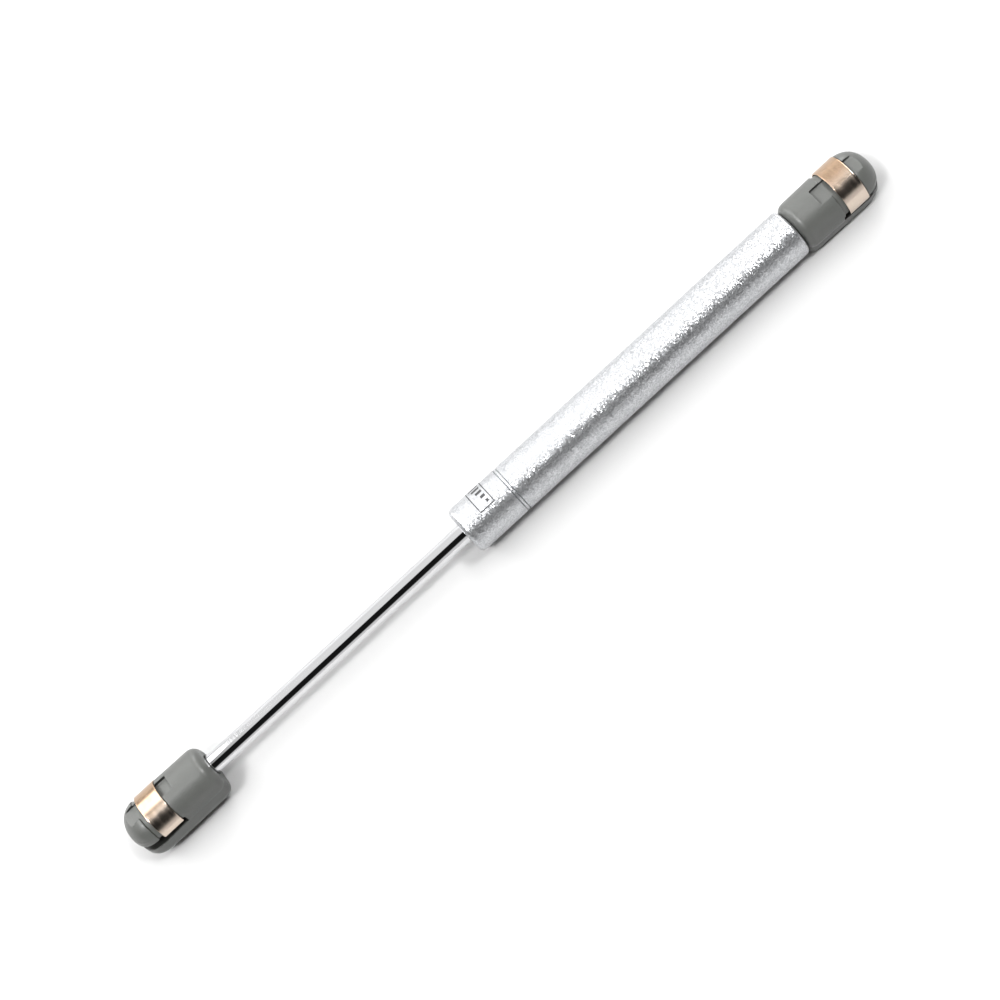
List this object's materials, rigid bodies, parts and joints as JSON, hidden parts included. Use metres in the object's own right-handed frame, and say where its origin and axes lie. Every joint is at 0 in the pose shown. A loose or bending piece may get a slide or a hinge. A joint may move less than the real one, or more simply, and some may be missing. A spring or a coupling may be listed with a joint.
{
  "type": "gas strut stay",
  "caption": "Gas strut with a slim pressure tube, a sliding piston rod and a moulded ball socket with a sprung safety clip at each end.",
  "frame": {"origin": "on the strut's axis, half way along its length at full extension", "axes": "+X along the strut, from the rod end to the tube end; -Z out of the tube end socket's mouth; +Y is sideways"},
  "size_m": [0.2778, 0.0169, 0.0171],
  "materials": {
    "tube_paint": "silver metallic paint, satin",
    "rod_chrome": "ground and hard chromed, mirror bright",
    "head_plastic": "warm grey moulded nylon, satin",
    "clip_steel": "spring steel with a faint copper tone",
    "seal_rubber": "black nitrile rubber",
    "guide_resin": "natural bearing resin",
    "zinc_plate": "zinc plated steel and die-cast zinc"
  },
  "bodies": {
    "tube": {"pressure_tube": "tube_paint", "wiper_ring": "seal_rubber", "rod_guide": "guide_resin", "guide_o_ring": "seal_rubber", "rod_seal": "seal_rubber", "seal_support_ring": "guide_resin", "rear_plug": "zinc_plate", "rear_plug_o_ring": "seal_rubber", "tube_end_head": "head_plastic"},
    "piston_seal": {"piston_ring": "guide_resin"},
    "rod": {"piston_rod": "rod_chrome", "piston_front_washer": "zinc_plate", "piston": "zinc_plate", "throttle_disc": "zinc_plate", "piston_rear_washer": "zinc_plate", "rod_end_head": "head_plastic"},
    "rod_clip": {"rod_end_clip": "clip_steel"},
    "tube_clip": {"tube_end_clip": "clip_steel"}
  },
  "joints": [
    {"name": "rod_slide", "type": "slide", "parent": "tube", "child": "piston_seal", "axis": [1, 0, 0], "range_m": [0, 0.09], "stiffness_N_per_m": 300, "springref_m": -0.267},
    {"name": "rod_spin", "type": "hinge", "parent": "piston_seal", "child": "rod", "pos_m": [0, 0, 0], "axis": [1, 0, 0], "continuous": true},
    {"name": "rod_clip_float", "type": "slide", "parent": "rod", "child": "rod_clip", "axis": [-1, 0, 0], "range_m": [0, 0.0013]},
    {"name": "tube_clip_float", "type": "slide", "parent": "tube", "child": "tube_clip", "axis": [-1, 0, 0], "range_m": [0, 0.0013]}
  ]
}
